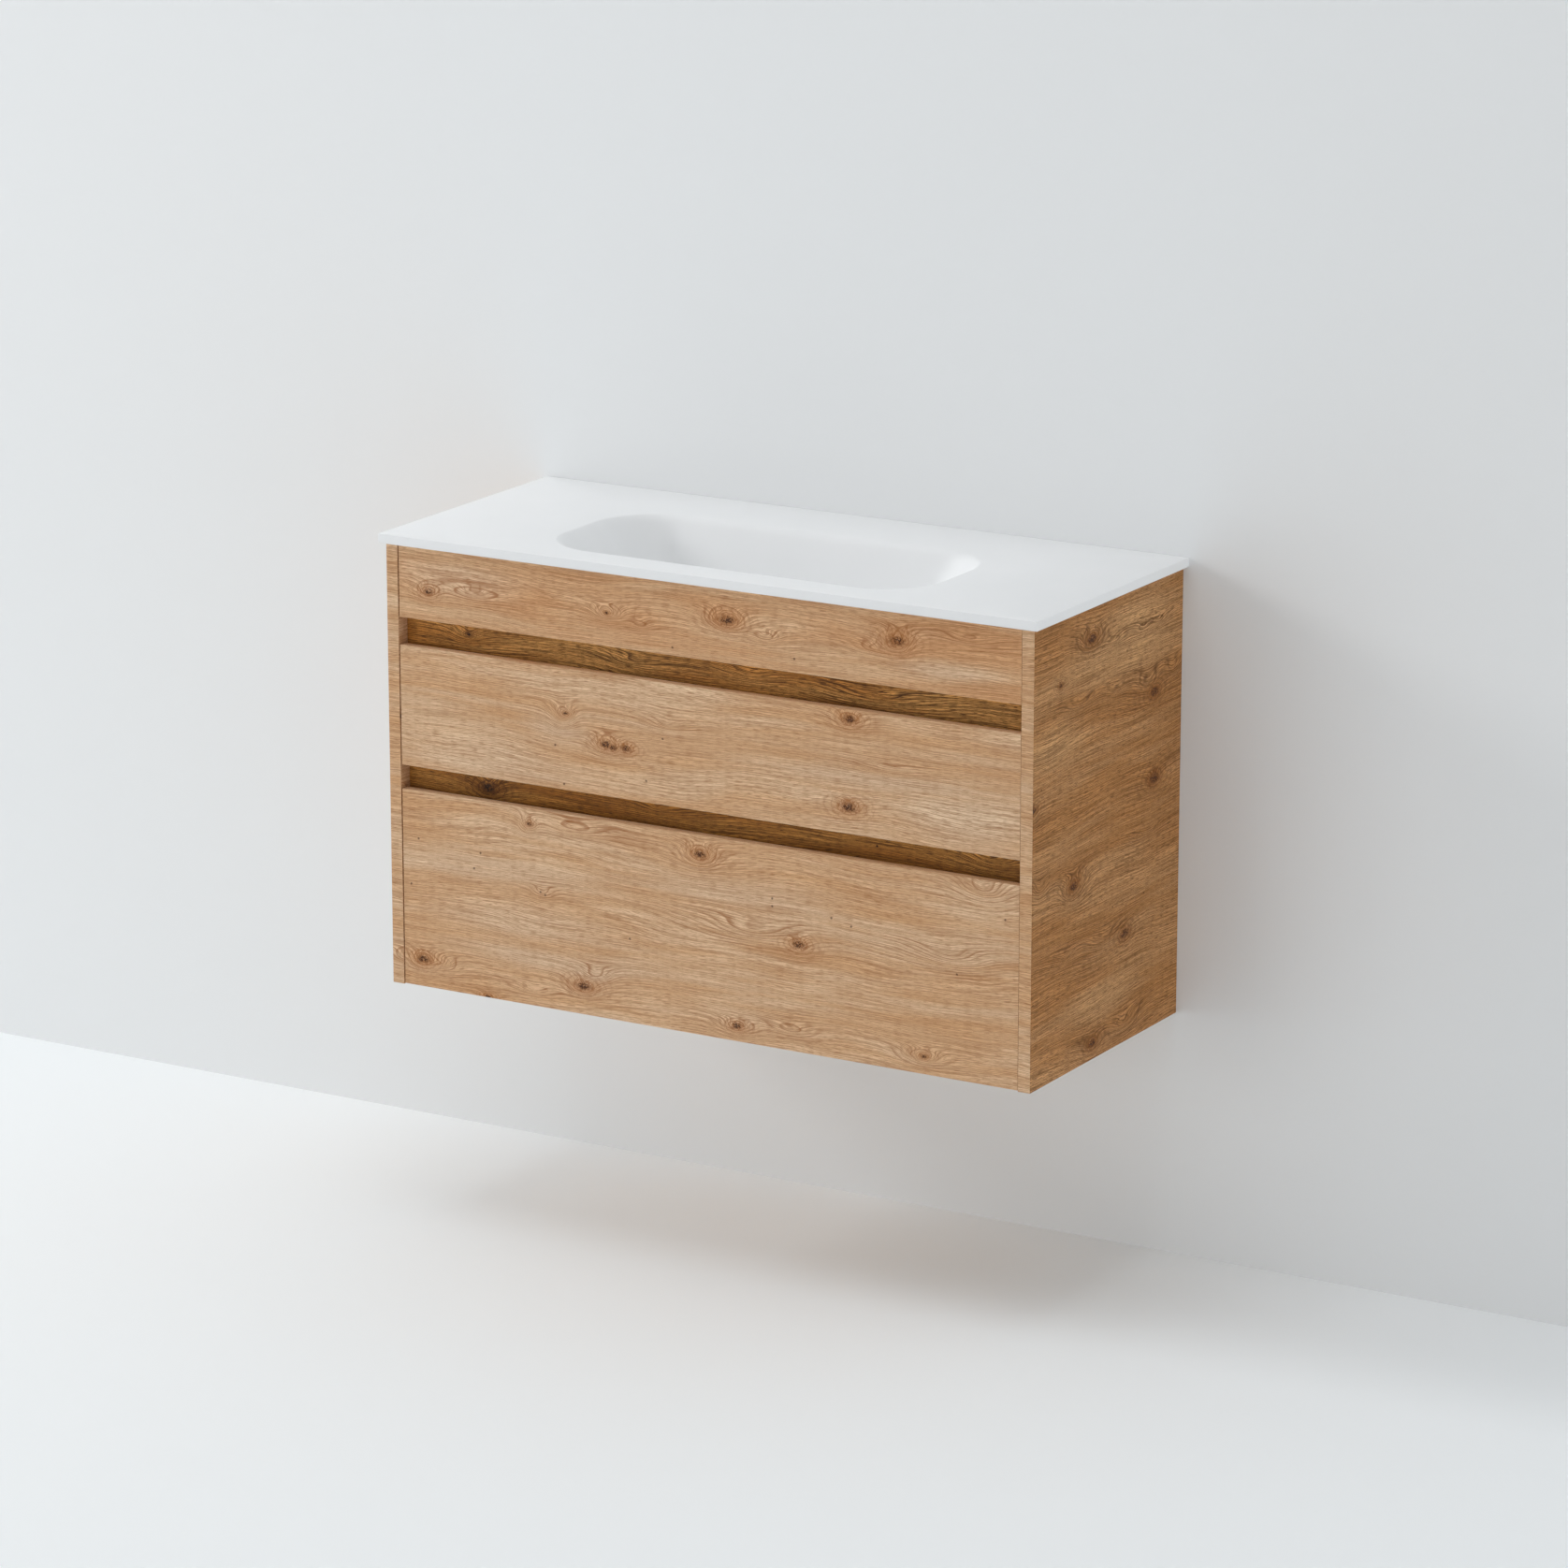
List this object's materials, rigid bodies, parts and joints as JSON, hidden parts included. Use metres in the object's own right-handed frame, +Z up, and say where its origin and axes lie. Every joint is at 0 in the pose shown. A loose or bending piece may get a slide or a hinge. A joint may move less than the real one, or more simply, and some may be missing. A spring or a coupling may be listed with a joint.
{
  "type": "floating vanity",
  "caption": "Wall-hung bathroom vanity: oak-decor cabinet with soft-close drawers under grip slots, topped by a thin matt white washbasin slab with a moulded bowl and a push-open waste.",
  "frame": {"origin": "centre of the rectangle of the wall plates' screw holes, on the wall plane, in the middle of the width", "axes": "+X to the right as seen from the room, +Y into the wall, +Z up; the drawers open along -Y"},
  "size_m": [1.016, 0.428, 0.6365],
  "materials": {
    "oak_decor": "oak decor, fine pores, satin matt",
    "oak_inside": "oak decor inside the cabinet, satin matt",
    "melamine": "warm grey melamine, fine linen texture, matt",
    "mineral_white": "cast mineral composite, matt white",
    "zinc_steel": "zinc-plated steel, satin",
    "chrome": "polished chrome",
    "grey_plastic": "moulded grey plastic, matt",
    "rubber": "dark rubber, matt",
    "clear_pads": "translucent soft pads",
    "beech": "raw beech, fluted",
    "sealant": "cured sealant, satin"
  },
  "bodies": {
    "cabinet": {"side_panel_left": "oak_decor", "side_panel_right": "oak_decor", "grip_rail_upper": "oak_decor", "grip_rail_lower": "oak_decor", "fascia": "oak_decor", "bottom_panel": "oak_inside", "rear_rail_upper": "oak_inside", "rear_rail_lower": "oak_inside", "upper_runner_left": "zinc_steel", "upper_runner_right": "zinc_steel", "lower_runner_left": "zinc_steel", "lower_runner_right": "zinc_steel", "fascia_spacers": "grey_plastic", "carcass_dowels": "beech", "carcass_screws": "zinc_steel", "front_bumpers": "clear_pads", "hanger_left": "zinc_steel", "hanger_right": "zinc_steel", "hanger_hooks": "zinc_steel", "hanger_adjusters": "zinc_steel", "wall_plates": "zinc_steel", "washbasin": "mineral_white", "basin_bond": "sealant", "waste_body": "chrome", "waste_cartridge": "grey_plastic", "waste_seals": "rubber", "waste_nut": "chrome", "runner_dampers": "grey_plastic"},
    "upper_drawer": {"upper_front": "oak_decor", "upper_inner_front": "melamine", "upper_side_left": "melamine", "upper_side_right": "melamine", "upper_floor": "melamine", "upper_slide_left": "zinc_steel", "upper_slide_right": "zinc_steel", "upper_screws": "zinc_steel", "upper_dowels": "beech", "upper_back_left": "melamine", "upper_back_right": "melamine", "upper_notch_left": "melamine", "upper_notch_right": "melamine", "upper_notch_front": "melamine"},
    "lower_drawer": {"lower_front": "oak_decor", "lower_inner_front": "melamine", "lower_side_left": "melamine", "lower_side_right": "melamine", "lower_floor": "melamine", "lower_slide_left": "zinc_steel", "lower_slide_right": "zinc_steel", "lower_screws": "zinc_steel", "lower_dowels": "beech", "lower_back": "melamine"},
    "upper_middles": {"upper_middle_members": "zinc_steel"},
    "lower_middles": {"lower_middle_members": "zinc_steel"},
    "upper_outer_balls": {"upper_outer_cages": "zinc_steel"},
    "upper_inner_balls": {"upper_inner_cages": "zinc_steel"},
    "lower_outer_balls": {"lower_outer_cages": "zinc_steel"},
    "lower_inner_balls": {"lower_inner_cages": "zinc_steel"},
    "plug": {"waste_plug": "chrome", "plug_ring": "rubber"}
  },
  "joints": [
    {"name": "upper_drawer_slide", "type": "slide", "parent": "cabinet", "child": "upper_drawer", "axis": [0, -1, 0], "range_m": [0, 0.33]},
    {"name": "lower_drawer_slide", "type": "slide", "parent": "cabinet", "child": "lower_drawer", "axis": [0, -1, 0], "range_m": [0, 0.33]},
    {"name": "upper_middle_slide", "type": "slide", "parent": "cabinet", "child": "upper_middles", "axis": [0, -1, 0], "range_m": [0, 0.165]},
    {"name": "upper_outer_ball_slide", "type": "slide", "parent": "cabinet", "child": "upper_outer_balls", "axis": [0, -1, 0], "range_m": [0, 0.0825]},
    {"name": "upper_inner_ball_slide", "type": "slide", "parent": "cabinet", "child": "upper_inner_balls", "axis": [0, -1, 0], "range_m": [0, 0.2475]},
    {"name": "lower_middle_slide", "type": "slide", "parent": "cabinet", "child": "lower_middles", "axis": [0, -1, 0], "range_m": [0, 0.165]},
    {"name": "lower_outer_ball_slide", "type": "slide", "parent": "cabinet", "child": "lower_outer_balls", "axis": [0, -1, 0], "range_m": [0, 0.0825]},
    {"name": "lower_inner_ball_slide", "type": "slide", "parent": "cabinet", "child": "lower_inner_balls", "axis": [0, -1, 0], "range_m": [0, 0.2475]},
    {"name": "plug_lift", "type": "slide", "parent": "cabinet", "child": "plug", "axis": [0, 0, 1], "range_m": [0, 0.009]}
  ],
  "couplings": [
    {"joint": "upper_middle_slide", "follows": "upper_drawer_slide", "ratio": 0.5},
    {"joint": "upper_outer_ball_slide", "follows": "upper_drawer_slide", "ratio": 0.25},
    {"joint": "upper_inner_ball_slide", "follows": "upper_drawer_slide", "ratio": 0.75},
    {"joint": "lower_middle_slide", "follows": "lower_drawer_slide", "ratio": 0.5},
    {"joint": "lower_outer_ball_slide", "follows": "lower_drawer_slide", "ratio": 0.25},
    {"joint": "lower_inner_ball_slide", "follows": "lower_drawer_slide", "ratio": 0.75}
  ]
}
